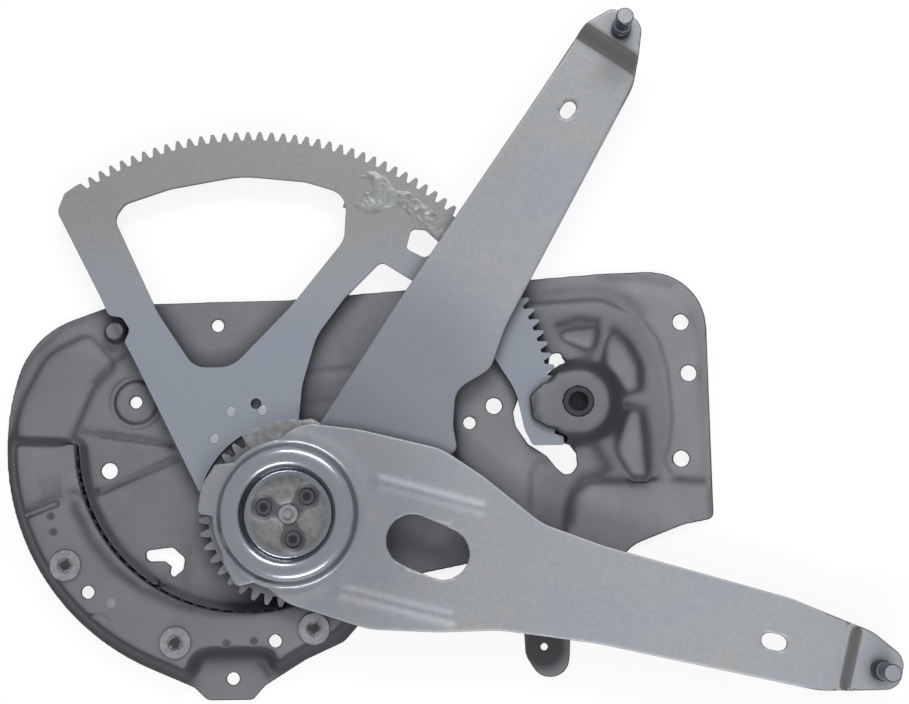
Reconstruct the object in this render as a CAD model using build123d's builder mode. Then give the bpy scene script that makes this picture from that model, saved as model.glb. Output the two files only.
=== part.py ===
from build123d import *
import os
from math import acos, cos, degrees, hypot, pi, radians, sin, tan

# Window regulator with two opposed arms, lying on the back of its base plate.
# The origin is the main pivot at the back face; X is right, Y is up, Z faces the viewer.

# Sheet thicknesses
sheet = 2.0
plate = 3.0
running_gap = 0.3

# Main pivot and the crank that carries the second pivot
crank_throw = 45.0
crank_angle = -59.8
pivot_journal = 7.0
pivot_shoulder = 9.0
pivot_head = 9.6
journal_gap = 0.05
crank_hub = 27.0
crank_end = 24.0
sector_rivet_circle = 17.0
swage_depth = 1.2

# Sector and pinion
sector_module = 2.0
sector_teeth = 163
sector_shift = -0.4
first_tooth_angle = 123.38
cut_teeth = 57
pinion_teeth = 10
pinion_shift = 0.4
pinion_angle = 5.9
pressure_angle = 20.0
backlash = 0.25
tip_clearance = 0.5

# Planet gear and the fixed ring gear
planet_teeth = 40
ring_start = -176.0
ring_end = -51.5
ring_outer = 118.0
ring_rivets_at = [(112.0, -145.4), (109.0, -108.9), (103.0, -70.0)]
ring_rivet_head = 8.0
ring_rivet_shank = 4.0
ring_rivet_rise = 0.8
ring_rivet_foot = 5.5
ring_rivet_dent = 0.5
ring_hole_gap = 1.2

# Heights above the back face
crank_bottom = 3.5
crank_top = crank_bottom + plate
sector_top = crank_top + plate
rim_top = 11.8
ring_top = rim_top - sheet
ring_thick = 3.5
planet_bottom = crank_top + running_gap
upper_arm_bottom = 13.0
upper_arm_top = upper_arm_bottom + plate
lower_arm_bottom = upper_arm_top + 0.4
lower_arm_top = lower_arm_bottom + plate
tip_bottom = 20.4
dome_top = 28.0
pad_top = 5.5
flange_top = 3.8
hood_top = 13.3
stop_top = 9.0

# Hub round the second pivot
post_radius = 18.5
bush_wall = 1.95
collar_radius = 30.0
arm_rivet_circle = 25.6
arm_rivet_radius = 2.5
well_radius = 22.5
dome_width = 14.0
dome_lean_in = 2.2
dome_lean_out = 3.6
lobe_circle = 13.0
lobe_radius = 6.3
lobe_web = 8.0
lobe_depth = 1.6
lobe_angles = (43.0, 164.0, -79.0)
hub_rivet_radius = 2.5
hub_rivet_head = 4.2
hub_rivet_rise = 1.2
rivet_taper = 20.0
centre_ring = 4.9
centre_ring_rise = 1.0
centre_pin = 2.1
centre_pin_rise = 0.6
sector_rivet_rise = 1.0

# Arms
arm_length = 307.0
upper_arm_angle = 55.2
lower_arm_angle = -15.2
joggle_start = 21.0
joggle_end = 9.5
tip_stud = 4.5
tip_collar = 5.1
tip_collar_height = 5.0
tip_stud_height = 21.5
tip_shank = 3.5
tip_chamfer = 0.6
tip_rivet_head = 1.2

# Fastening holes in the base
hole_large = 4.15
hole_small = 3.2
large_holes = [(227.5, 60), (230.9, 32.9), (225.7, -11.9), (128.4, 16.6), (-72.7, -15)]
small_holes = [(-16.9, 61.1), (-59.4, 20.8), (-80.4, -77.3), (15.5, -102.8), (-7.1, -122.1), (115.6, 7.8)]

# Pinion housing
boss_foot = 26.5
boss_taper = 35.0
lug_reach = 25.0
lug_half_width = 11.0
lug_corner = 4.0
lug_drop = 0.5
sector_way = 2.0
sector_rim = 36.0
cap_radius = 22.0
cap_thick = 2.5
pinion_lower_journal = 6.0
pinion_upper_journal = 7.5
pinion_shoulder = 9.0
drive_socket = 5.2
drive_depth = 8.0


def polar(radius, angle):
    """Point at a radius and an angle in degrees about the main pivot."""
    return (radius * cos(radians(angle)), radius * sin(radians(angle)))


def from_arm(points, angle):
    """Points along and across an arm, turned to its angle and moved to the second pivot."""
    c, s = cos(radians(angle)), sin(radians(angle))
    return [(second_pivot[0] + u * c - v * s, second_pivot[1] + u * s + v * c) for u, v in points]


def closed_face(points, radius=0.0, grow=0.0):
    """Face inside a closed line whose corners are rounded, facing up whichever way the points run."""
    radii = [radius] * len(points) if isinstance(radius, (int, float)) else list(radius)
    turning = sum(x0 * y1 - x1 * y0 for (x0, y0), (x1, y1) in zip(points, points[1:] + points[:1]))
    if turning < 0:
        points, radii = points[::-1], radii[::-1]
    with BuildSketch() as face:
        with BuildLine():
            FilletPolyline(*points, radius=radii, close=True)
        make_face()
        if grow:
            offset(amount=grow, kind=Kind.INTERSECTION)
    return face.sketch


def rounded_face(corners, grow=0.0):
    """Face whose corners each come with their own radius."""
    return closed_face([(x, y) for x, y, r in corners], [r for x, y, r in corners], grow)


def half_tooth(radius, module, teeth, shift):
    """Half the angle of an involute tooth at a radius, in degrees."""
    pitch = module * teeth / 2
    base = pitch * cos(radians(pressure_angle))
    there = acos(min(1.0, base / radius))
    flank = tan(radians(pressure_angle)) - radians(pressure_angle) - tan(there) + there
    return degrees((pi / 2 + 2 * shift * tan(radians(pressure_angle))) / teeth + flank)


def gap_face(module, teeth, shift, root, tip):
    """Gap between two teeth of an outside gear, centred on the X axis."""
    pitch = module * teeth / 2
    radii = [root, (root + pitch) / 2, pitch, tip]
    flank = [180 / teeth - half_tooth(r, module, teeth, shift) + degrees(backlash / 2 / r) for r in radii]
    beyond = tip / cos(radians(flank[-1])) + 0.5
    side = [polar(r, a) for r, a in zip(radii, flank)] + [polar(beyond, flank[-1])]
    other = [(x, -y) for x, y in reversed(side)]
    with BuildSketch() as gap:
        with BuildLine():
            Polyline(*side, *other, close=True)
        make_face()
    return gap.sketch


def ring_gap_face(module, teeth, root, tip):
    """Gap of an inside gear, which has the shape of an outside gear's tooth."""
    pitch = module * teeth / 2
    radii = [tip * 0.99, pitch, root]
    side = [polar(r, half_tooth(r, module, teeth, 0.0) + degrees(backlash / 2 / r)) for r in radii]
    other = [(x, -y) for x, y in reversed(side)]
    with BuildSketch() as gap:
        with BuildLine():
            Polyline(*side, *other, close=True)
        make_face()
    return gap.sketch


second_pivot = polar(crank_throw, crank_angle)
planet_module = 2 * crank_throw / planet_teeth
ring_teeth = 2 * planet_teeth
planet_pitch = planet_module * planet_teeth / 2
planet_tip = planet_pitch + planet_module
planet_root = planet_pitch - planet_module - tip_clearance
ring_pitch = planet_module * ring_teeth / 2
ring_tip = ring_pitch - planet_module
ring_root = ring_pitch + planet_module + tip_clearance
sector_pitch = sector_module * sector_teeth / 2
sector_tip = sector_pitch + sector_module * (1 + sector_shift)
sector_root = sector_pitch - sector_module * (1 - sector_shift) - tip_clearance
pinion_pitch = sector_module * pinion_teeth / 2
pinion_tip = pinion_pitch + sector_module * (1 + pinion_shift)
pinion_root = pinion_pitch - sector_module * (1 - pinion_shift) - tip_clearance
pinion_centre = polar(sector_pitch + pinion_pitch, pinion_angle)
sector_step = 360 / sector_teeth
boss_lean = tan(radians(boss_taper))
bush_outer = post_radius + journal_gap + bush_wall
dome_foot = well_radius + dome_width
sector_cut_top = sector_top + 0.7

# Base plate: one sheet pressed into a floor, a raised rim, bands, pads and the pinion hood
rim_radius = 127.0
rim_arc = (165.0, 247.0)
rim_corner = polar(rim_radius / cos(radians((rim_arc[1] - rim_arc[0]) / 2)), (rim_arc[0] + rim_arc[1]) / 2)
base_corners = [
    (-72, 73, 18), (-116, 57, 45), (*rim_corner, rim_radius), (-27, -126.5, 6), (-20, -133, 4), (3, -133, 4), (9, -126, 6), (30, -113, 15), (50, -104, 10), (78, -72, 20),
    (140, -60, 12), (143, -112, 10), (150, -123, 10), (165, -123, 10), (167, -90, 8), (200, -56, 20),
    (226, -46, 20), (242, -43, 4), (241, 88, 30), (190, 87, 20), (120, 82, 40), (20, 74.5, 20),
]
base_face = rounded_face(base_corners)
rim_inner = 84.0
rim_angles = (-182.0, -46.5)
rim_taper = 23.0
rim_edge = 1.5
rim_sheet = 1.1 * sheet
rim_wall = rim_sheet + ring_top * tan(radians(rim_taper))
press_taper = 30.0
band_corners = [
    (-66, 40, 6), (-79.7, 27.1, 6), (-89.4, 2.8, 6), (-87.2, -34, 6), (-119, -42, 6), (-125, -12, 70),
    (-123, 18, 50), (-108, 48, 25), (-84, 60, 6),
]
motor_pad_corners = [
    (100, 70), (186, 75), (206.2, 65), (218, 40), (221, 10), (216.4, -12), (218, -24.5), (178, -25.5),
    (168.5, -33), (165, -60), (141, -58), (132, -36), (106, -12),
]
flange_corners = [(196, 80, 4), (232, 80, 22), (238, 50, 20), (238.5, -24.5, 2), (205, -24.5, 2), (203, 60, 10)]
pockets = [
    [(155, 55), (186, 59), (181, 44)],
    [(192, 57), (199, 51), (206, 39), (206, 25), (199, 21), (186, 36.5), (187, 49)],
    [(199, 15), (206, 14), (209, -22), (199.5, -22), (191, -6.7)],
]
tooth_window = [(158.5, 43.3), (163.2, 44.3), (167.6, 37.5), (166.9, 33.8), (162.5, 29.6), (155.1, 26.5)]
crescent = [
    (142, 21.8), (138.5, 13), (139.8, 5.7), (146, -3.5), (155.5, -9.7), (160.3, -15.8), (164.3, -19.4),
    (168.4, -18.9), (171.1, -15.3), (170.9, -8.7), (168.1, -4.6), (163, -2.6), (158, 8),
]
lanced_slot = [
    (-52.9, -56.6), (-39.1, -55), (-33, -60.4), (-33.5, -66.3), (-45.4, -76), (-47.6, -74.4), (-40.1, -69),
    (-39.5, -64.7), (-42.9, -62), (-52.2, -62),
]
floor_ribs = [((-80, 1.6), (-38.8, -4.7)), ((-79, -31), (-55.6, -19.8)), ((28, 30), (50, 33))]
rib_width = 5.0
rib_rise = 1.0
channel_rise = 0.6
ring_boss_at = (-59.4, 20.8)
ring_boss = 12.7
channel_rib = ((151.5, -20), (151.5, -54))
channel_rib_width = 12.0
stop_at = (-70.3, 57.9)
stop_foot = 6.2
stop_taper = 12.0
tongue_hole_at = (152.6, -107.7)
tongue_hole = 1.9
tab_notch = [(-22, -111.5), (11, -111.5), (14, -128), (16, -150), (-32, -150), (-29, -128)]
tab_notch_corner = 3.0
pinion_lug = [(0, 1.2), (-0.68, 1.1), (-1, 0.55), (-1, -0.55), (-0.68, -1.1), (0, -1.2)]


def rim_zone(grow):
    """Raised rim between the recess wall and the outline, without the low tab, shrunk by -grow all round."""
    inner = rim_inner - grow
    margin = degrees(-grow / inner)
    low, high = rim_angles[0] + margin, rim_angles[1] - margin
    steps = [low + (high - low) * k / 6 for k in range(7)]
    with BuildSketch() as zone:
        add(rounded_face(base_corners, grow - rim_edge))
        with BuildSketch(mode=Mode.INTERSECT):
            with BuildLine():
                Polyline((0, 0), *[polar(300, a) for a in steps], close=True)
            make_face()
        Circle(inner, mode=Mode.SUBTRACT)
        add(closed_face(tab_notch, tab_notch_corner, -grow), mode=Mode.SUBTRACT)
    return zone.sketch


def stroke(start, end, width):
    """Long round-ended face between two points."""
    length = hypot(end[0] - start[0], end[1] - start[1])
    lean = degrees(acos((end[0] - start[0]) / length)) * (1 if end[1] > start[1] else -1)
    middle = ((start[0] + end[0]) / 2, (start[1] + end[1]) / 2)
    with BuildSketch() as face:
        with Locations(Location((*middle, 0), (0, 0, lean))):
            SlotOverall(length, width)
    return face.sketch


with BuildPart() as base_plate:
    extrude(base_face, amount=sheet)
    pads = [
        (rim_zone(0), rim_zone(-rim_sheet), rim_top, rim_taper),
        (rounded_face(band_corners), rounded_face(band_corners, -sheet), pad_top, press_taper),
        (closed_face(motor_pad_corners, 5), closed_face(motor_pad_corners, 5, -sheet), pad_top, press_taper),
        (rounded_face(flange_corners), rounded_face(flange_corners, -sheet), flange_top, press_taper),
    ]
    for outside, inside, height, lean in pads:
        extrude(outside, amount=height, taper=lean)
    for outside, inside, height, lean in pads:
        extrude(inside, amount=height - sheet, taper=lean, mode=Mode.SUBTRACT)
    # Pockets that step back down from the motor pad to the floor
    for corners in pockets:
        extrude(closed_face(corners, 3, sheet), amount=pad_top)
        with BuildSketch(Plane.XY.offset(sheet)):
            add(closed_face(corners, 3))
        extrude(amount=pad_top, mode=Mode.SUBTRACT)
    # Pinion hood, hollow behind, with a lug over the sector's teeth and the slot that they run through
    with BuildSketch():
        with Locations(pinion_centre):
            Circle(boss_foot)
    extrude(amount=hood_top, taper=boss_taper)
    with BuildSketch(Plane.XY.offset(sector_cut_top)):
        with Locations(Location((*pinion_centre, 0), (0, 0, pinion_angle))):
            add(closed_face([(lug_reach * u, lug_half_width * v) for u, v in pinion_lug], lug_corner))
    extrude(amount=hood_top - lug_drop - sector_cut_top, taper=press_taper / 2)
    with BuildSketch():
        with Locations(pinion_centre):
            Circle(cap_radius)
    extrude(amount=cap_thick, mode=Mode.SUBTRACT)
    with BuildSketch(Plane.XY.offset(cap_thick)):
        with Locations(pinion_centre):
            Circle(boss_foot - sheet - cap_thick * boss_lean)
    extrude(amount=hood_top - sheet - cap_thick, taper=boss_taper, mode=Mode.SUBTRACT)
    with BuildSketch(Plane.XY.offset(pad_top)):
        Circle(sector_tip + sector_way)
        Circle(sector_tip - sector_rim, mode=Mode.SUBTRACT)
    extrude(amount=sector_cut_top - pad_top, mode=Mode.SUBTRACT)
    with Locations((*pinion_centre, hood_top)):
        Hole(pinion_upper_journal + journal_gap, depth=2 * sheet)
    # Slot in the recess wall, through which the planet gear reaches the ring gear
    with BuildSketch(Plane.XY.offset(ring_top - ring_thick - 0.1)):
        with BuildLine():
            Polyline((0, 0), polar(300, -40), polar(300, -80), polar(300, -140), polar(300, -185), close=True)
        make_face()
        Circle(ring_root + 0.7, mode=Mode.INTERSECT)
    extrude(amount=ring_thick + 0.1, mode=Mode.SUBTRACT)
    # Ribs and the ring boss pressed up in the floor
    for start, end in floor_ribs:
        with BuildSketch(Plane.XY.offset(sheet)):
            add(stroke(start, end, rib_width))
        extrude(amount=rib_rise, taper=press_taper)
    with BuildSketch(Plane.XY.offset(pad_top)):
        add(stroke(*channel_rib, channel_rib_width))
    extrude(amount=channel_rise, taper=press_taper)
    with BuildSketch(Plane.XY.offset(sheet)):
        with Locations(ring_boss_at):
            Circle(ring_boss)
    extrude(amount=rib_rise, taper=press_taper)
    # Bump that stops the sector
    with BuildSketch(Plane.XY.offset(sheet)):
        with Locations(stop_at):
            Circle(stop_foot)
    extrude(amount=stop_top - sheet, taper=stop_taper)
    # Openings and fastening holes
    for corners, corner in ((tooth_window, 1.5), (crescent, 1.5), (lanced_slot, 0.6)):
        extrude(closed_face(corners, corner), amount=pad_top + 0.5, mode=Mode.SUBTRACT)
    for places, radius in ((large_holes, hole_large), (small_holes, hole_small)):
        with BuildSketch():
            with Locations(*places):
                Circle(radius)
        extrude(amount=rim_top, mode=Mode.SUBTRACT)
    with BuildSketch():
        with Locations(tongue_hole_at):
            Circle(tongue_hole)
        with Locations(*[polar(r, a) for r, a in ring_rivets_at]):
            Circle(ring_rivet_shank)
    extrude(amount=rim_top, mode=Mode.SUBTRACT)
    with BuildSketch():
        Circle(pivot_journal)
    extrude(amount=sheet, mode=Mode.SUBTRACT)
base_plate.part.label = "base_plate"

# Fixed ring gear under the rim
with BuildPart() as ring_gear:
    with BuildSketch(Plane.XY.offset(ring_top - ring_thick)):
        with BuildLine():
            outer_start = polar(ring_outer, ring_start)
            outer_end = polar(ring_outer, -92)
            ThreePointArc(outer_start, polar(ring_outer, (ring_start - 92) / 2), outer_end)
            Polyline(outer_end, (4.8, -117), (25.8, -106), (45.4, -97.4), polar(99.5, ring_end))
            Line(polar(99.5, ring_end), polar(ring_tip, ring_end))
            ThreePointArc(
                polar(ring_tip, ring_end), polar(ring_tip, (ring_start + ring_end) / 2), polar(ring_tip, ring_start)
            )
            Line(polar(ring_tip, ring_start), outer_start)
        make_face()
        for k in range(-26, 3):
            with Locations(Location((0, 0, 0), (0, 0, crank_angle + k * 360 / ring_teeth))):
                add(ring_gap_face(planet_module, ring_teeth, ring_root, ring_tip), mode=Mode.SUBTRACT)
        with Locations(*[polar(r, a) for r, a in ring_rivets_at]):
            Circle(ring_rivet_shank, mode=Mode.SUBTRACT)
        with Locations(*small_holes):
            Circle(hole_small + ring_hole_gap, mode=Mode.SUBTRACT)
        add(closed_face(tab_notch, tab_notch_corner, rim_wall + ring_hole_gap), mode=Mode.SUBTRACT)
    extrude(amount=ring_thick)
ring_gear.part.label = "ring_gear"

with BuildPart() as ring_rivets:
    for radius, angle in ring_rivets_at:
        with BuildSketch(Plane.XY.offset(ring_top - ring_thick - ring_rivet_rise)):
            with Locations(polar(radius, angle)):
                Circle(ring_rivet_foot)
        extrude(amount=ring_rivet_rise)
        with BuildSketch(Plane.XY.offset(ring_top - ring_thick)):
            with Locations(polar(radius, angle)):
                Circle(ring_rivet_shank)
        extrude(amount=ring_thick + sheet)
        with BuildSketch(Plane.XY.offset(rim_top)):
            with Locations(polar(radius, angle)):
                Circle(ring_rivet_head)
        extrude(amount=ring_rivet_rise, taper=15)
        with BuildSketch(Plane.XY.offset(rim_top + ring_rivet_rise)):
            with Locations(polar(radius, angle)):
                Circle(ring_rivet_shank)
        extrude(amount=-ring_rivet_dent, mode=Mode.SUBTRACT)
ring_rivets.part.label = "ring_rivets"

# Main pivot stud: journal through the crank, swaged head sunk in the crank's top
with BuildPart() as main_pivot_stud:
    with BuildSketch(Plane.XZ):
        with BuildLine():
            Polyline(
                (0, 0), (pivot_journal, 0), (pivot_journal, sheet), (pivot_shoulder, sheet),
                (pivot_shoulder, crank_bottom - 0.1), (pivot_journal, crank_bottom - 0.1),
                (pivot_journal, crank_top - swage_depth), (pivot_head, crank_top - swage_depth),
                (pivot_head, crank_top), (0, crank_top), close=True,
            )
        make_face()
    revolve(axis=Axis.Z)
main_pivot_stud.part.label = "main_pivot_stud"

# Crank plate, behind the planet gear
hull_half = degrees(acos((crank_hub - crank_end) / crank_throw))
sector_rivets_at = [polar(sector_rivet_circle, crank_angle + 180 + a) for a in (-58, 0, 58)]
hub_rivets_at = [
    (second_pivot[0] + lobe_circle * cos(radians(a)), second_pivot[1] + lobe_circle * sin(radians(a)))
    for a in lobe_angles
]
with BuildPart() as crank_plate:
    with BuildSketch(Plane.XY.offset(crank_bottom)):
        Circle(crank_hub)
        with Locations(second_pivot):
            Circle(crank_end)
        with BuildLine():
            near = [polar(crank_hub, crank_angle + a) for a in (hull_half, -hull_half)]
            far = [
                (second_pivot[0] + polar(crank_end, crank_angle + a)[0],
                 second_pivot[1] + polar(crank_end, crank_angle + a)[1])
                for a in (-hull_half, hull_half)
            ]
            Polyline(near[0], near[1], far[0], far[1], close=True)
        make_face()
        Circle(pivot_journal + journal_gap, mode=Mode.SUBTRACT)
        with Locations(*sector_rivets_at, *hub_rivets_at):
            Circle(hub_rivet_radius, mode=Mode.SUBTRACT)
    extrude(amount=plate)
    with BuildSketch(Plane.XY.offset(crank_top)):
        Circle(pivot_head + running_gap)
    extrude(amount=-swage_depth - 0.1, mode=Mode.SUBTRACT)
crank_plate.part.label = "crank_plate"

# Sector gear plate
sector_corners = [
    (-22.1, -31.3, 0), (-59.3, 42.4, 8), (-64.5, 52, 3), (-61.7, 58.4, 4), (-66, 65, 4), (-73, 66, 4),
    (-78.4, 77.3, 12), (-101.5, 122, 6), (-97.5, 133, 4), (-86, 139.2, 0), (-80, 175, 0), (60, 175, 0),
    (175, 120, 0), (175, -4.3, 0), (148.3, -4.3, 3), (144.2, 4, 12), (140, 23.9, 30), (128, 43, 60), (108, 66, 40),
    (88, 82, 20), (70, 93.5, 4), (51.2, 74.6, 20), (36, 54, 30), (28.5, 28, 30), (26.5, 6, 0),
]
sector_window = [
    (-71.5, 118, 7), (-66, 126, 7), (-42.1, 134, 30), (-4.4, 140.6, 60), (30, 137, 30), (52, 130, 12),
    (50.5, 105, 12), (22.1, 69.2, 40), (-8, 38, 16), (-28, 38, 12), (-48, 68, 60),
]
strut_window = [(83, 100, 3), (86, 111, 3), (95, 110, 3), (103, 101, 3), (93, 95, 3)]
tool_hole_at = (4.6, 18.7)
tool_hole = 2.8
with BuildPart() as sector_gear:
    with BuildSketch(Plane.XY.offset(crank_top)):
        add(rounded_face(sector_corners))
        Circle(sector_tip, mode=Mode.INTERSECT)
        for opening in (sector_window, strut_window):
            add(rounded_face(opening), mode=Mode.SUBTRACT)
        for k in range(cut_teeth - 1):
            with Locations(Location((0, 0, 0), (0, 0, first_tooth_angle - (k + 0.5) * sector_step))):
                add(
                    gap_face(sector_module, sector_teeth, sector_shift, sector_root, sector_tip),
                    mode=Mode.SUBTRACT,
                )
        with Locations(second_pivot):
            Circle(planet_tip + 1.0, mode=Mode.SUBTRACT)
        with Locations(tool_hole_at):
            Circle(tool_hole, mode=Mode.SUBTRACT)
        with Locations(*sector_rivets_at):
            Circle(hub_rivet_radius, mode=Mode.SUBTRACT)
    extrude(amount=plate)
sector_gear.part.label = "sector_gear"

with BuildPart() as sector_rivets:
    with BuildSketch(Plane.XY.offset(crank_bottom)):
        with Locations(*sector_rivets_at):
            Circle(hub_rivet_radius)
    extrude(amount=2 * plate)
    with BuildSketch(Plane.XY.offset(sector_top)):
        with Locations(*sector_rivets_at):
            Circle(hub_rivet_head)
    extrude(amount=sector_rivet_rise, taper=rivet_taper)
sector_rivets.part.label = "sector_rivets"

# Hub post between the crank and the lower arm
with BuildPart() as hub_post:
    with BuildSketch(Plane.XY.offset(crank_top)):
        with Locations(second_pivot):
            Circle(post_radius)
            Circle(centre_pin, mode=Mode.SUBTRACT)
        with Locations(*hub_rivets_at):
            Circle(hub_rivet_radius, mode=Mode.SUBTRACT)
    extrude(amount=lower_arm_bottom - crank_top)
hub_post.part.label = "hub_post"

arm_rivets_at = [
    (second_pivot[0] + arm_rivet_circle * cos(radians(a)), second_pivot[1] + arm_rivet_circle * sin(radians(a)))
    for a in (15, 135, 255)
]
with BuildPart() as planet_gear:
    with BuildSketch(Plane.XY.offset(planet_bottom)):
        with Locations(second_pivot):
            Circle(planet_tip)
            Circle(bush_outer, mode=Mode.SUBTRACT)
        for k in range(planet_teeth):
            turn = crank_angle + (k + 0.5) * 360 / planet_teeth
            with Locations(Location((*second_pivot, 0), (0, 0, turn))):
                add(gap_face(planet_module, planet_teeth, 0.0, planet_root, planet_tip), mode=Mode.SUBTRACT)
        with Locations(*arm_rivets_at):
            Circle(arm_rivet_radius, mode=Mode.SUBTRACT)
    extrude(amount=sector_top - planet_bottom)
planet_gear.part.label = "planet_gear"

with BuildPart() as planet_spacer:
    with BuildSketch(Plane.XY.offset(sector_top)):
        with Locations(second_pivot):
            Circle(collar_radius)
            Circle(bush_outer, mode=Mode.SUBTRACT)
        with Locations(*arm_rivets_at):
            Circle(arm_rivet_radius, mode=Mode.SUBTRACT)
    extrude(amount=upper_arm_bottom - sector_top)
planet_spacer.part.label = "planet_spacer"

with BuildPart() as planet_bush:
    with BuildSketch(Plane.XY.offset(planet_bottom)):
        with Locations(second_pivot):
            Circle(bush_outer)
            Circle(post_radius + journal_gap, mode=Mode.SUBTRACT)
    extrude(amount=upper_arm_top - planet_bottom)
planet_bush.part.label = "planet_bush"

with BuildPart() as upper_arm_rivets:
    with BuildSketch(Plane.XY.offset(planet_bottom)):
        with Locations(*arm_rivets_at):
            Circle(arm_rivet_radius)
    extrude(amount=upper_arm_top - planet_bottom)
upper_arm_rivets.part.label = "upper_arm_rivets"

# Arms: the plan outline cut by a side profile that steps up near the tip
upper_outline = [
    (43, 13.5, 10), (119.2, 16.1, 60), (182, 17, 80), (arm_length - 64, 17.5, 60), (arm_length - 9, 18.5, 20),
    (arm_length + 8, 10.5, 7), (arm_length + 10.5, -7, 9), (arm_length - 18, -21.4, 30), (197, -31.5, 90),
    (142.5, -37.4, 90), (119.9, -43.5, 12),
    (101, -34.5, 12), (84.7, -44, 12), (76, -52.5, 5), (62, -49.5, 8), (30, -24, 0), (0, 0, 0),
]
lower_outline = [
    (-8.5, 46.7, 20), (23.7, 51, 60), (67.3, 52, 30), (92, 43.5, 40), (126.5, 28, 30), (159.6, 25, 80),
    (arm_length - 50, 23.3, 60), (arm_length - 8, 17.5, 25), (arm_length + 10.5, 9, 9),
    (arm_length + 11.5, -7, 9), (arm_length - 26, -17.8, 40), (168, -23.3, 90),
    (118.8, -29.3, 60), (89.1, -38.1, 60), (55, -45.5, 40), (10.3, -43.5, 30), (-17.5, -29.6, 12), (-26, -14, 12),
    (-26, 10, 12),
]
tab_outline = [
    (-20, 27, 0), (-37.5, 25.8, 4), (-44.5, 15, 12), (-46.5, 0.5, 3), (-34.4, -1, 4), (-33, -24.1, 10),
    (-26, -36.5, 3), (0, -30, 0), (0, 0, 0),
]
lower_hole = [
    (55.5, 14.5, 5), (51.5, -3.4, 6), (58, -13.5, 7), (88, -14.5, 7), (94.5, 7, 7), (76.1, 16, 8),
]
lower_ribs = [((32, 35.4), (93, 29.6)), ((33, -25.9), (93, -25.7))]
arm_rib_width = 7.0
arm_rib_rise = 1.3
upper_slot = (arm_length - 60.5, -1.2, 8.4, 6.2, 38)
lower_slot = (arm_length - 56, 0.8, 11.5, 6.2, 0)


def arm_plane(angle):
    """Upright plane along an arm: first axis along the arm, second axis up."""
    c, s = cos(radians(angle)), sin(radians(angle))
    return Plane(origin=(*second_pivot, 0), x_dir=(c, s, 0), z_dir=(s, -c, 0))


def side_profile(bottom):
    """Side view of an arm: flat, stepping up to the tip's height, then flat again."""
    step_start, step_end, reach = arm_length - joggle_start, arm_length - joggle_end, arm_length + 20
    with BuildSketch() as side:
        with BuildLine():
            Polyline(
                (-60, bottom), (step_start, bottom), (step_end, tip_bottom), (reach, tip_bottom),
                (reach, tip_bottom + plate), (step_end, tip_bottom + plate), (step_start, bottom + plate),
                (-60, bottom + plate), close=True,
            )
        make_face()
    return side.sketch


def arm_face(outline, angle):
    """Plan outline of an arm at its angle."""
    return closed_face(from_arm([(u, v) for u, v, r in outline], angle), [r for u, v, r in outline])


def tip_point(angle):
    """Centre of the stud at the tip of an arm."""
    return from_arm([(arm_length, 0)], angle)[0]


with BuildPart() as upper_arm:
    with BuildSketch():
        add(arm_face(upper_outline, upper_arm_angle))
        with Locations(second_pivot):
            Circle(collar_radius + 4)
            Circle(bush_outer, mode=Mode.SUBTRACT)
        with Locations(*arm_rivets_at):
            Circle(arm_rivet_radius, mode=Mode.SUBTRACT)
        with Locations(tip_point(upper_arm_angle)):
            Circle(tip_shank, mode=Mode.SUBTRACT)
        slot_at = from_arm([upper_slot[:2]], upper_arm_angle)[0]
        with Locations(Location((*slot_at, 0), (0, 0, upper_arm_angle + upper_slot[4]))):
            SlotOverall(upper_slot[2], upper_slot[3], mode=Mode.SUBTRACT)
    extrude(amount=tip_bottom + 2 * plate)
    with BuildSketch(arm_plane(upper_arm_angle)):
        add(side_profile(upper_arm_bottom))
    extrude(amount=90, both=True, mode=Mode.INTERSECT)
upper_arm.part.label = "upper_arm"

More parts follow.
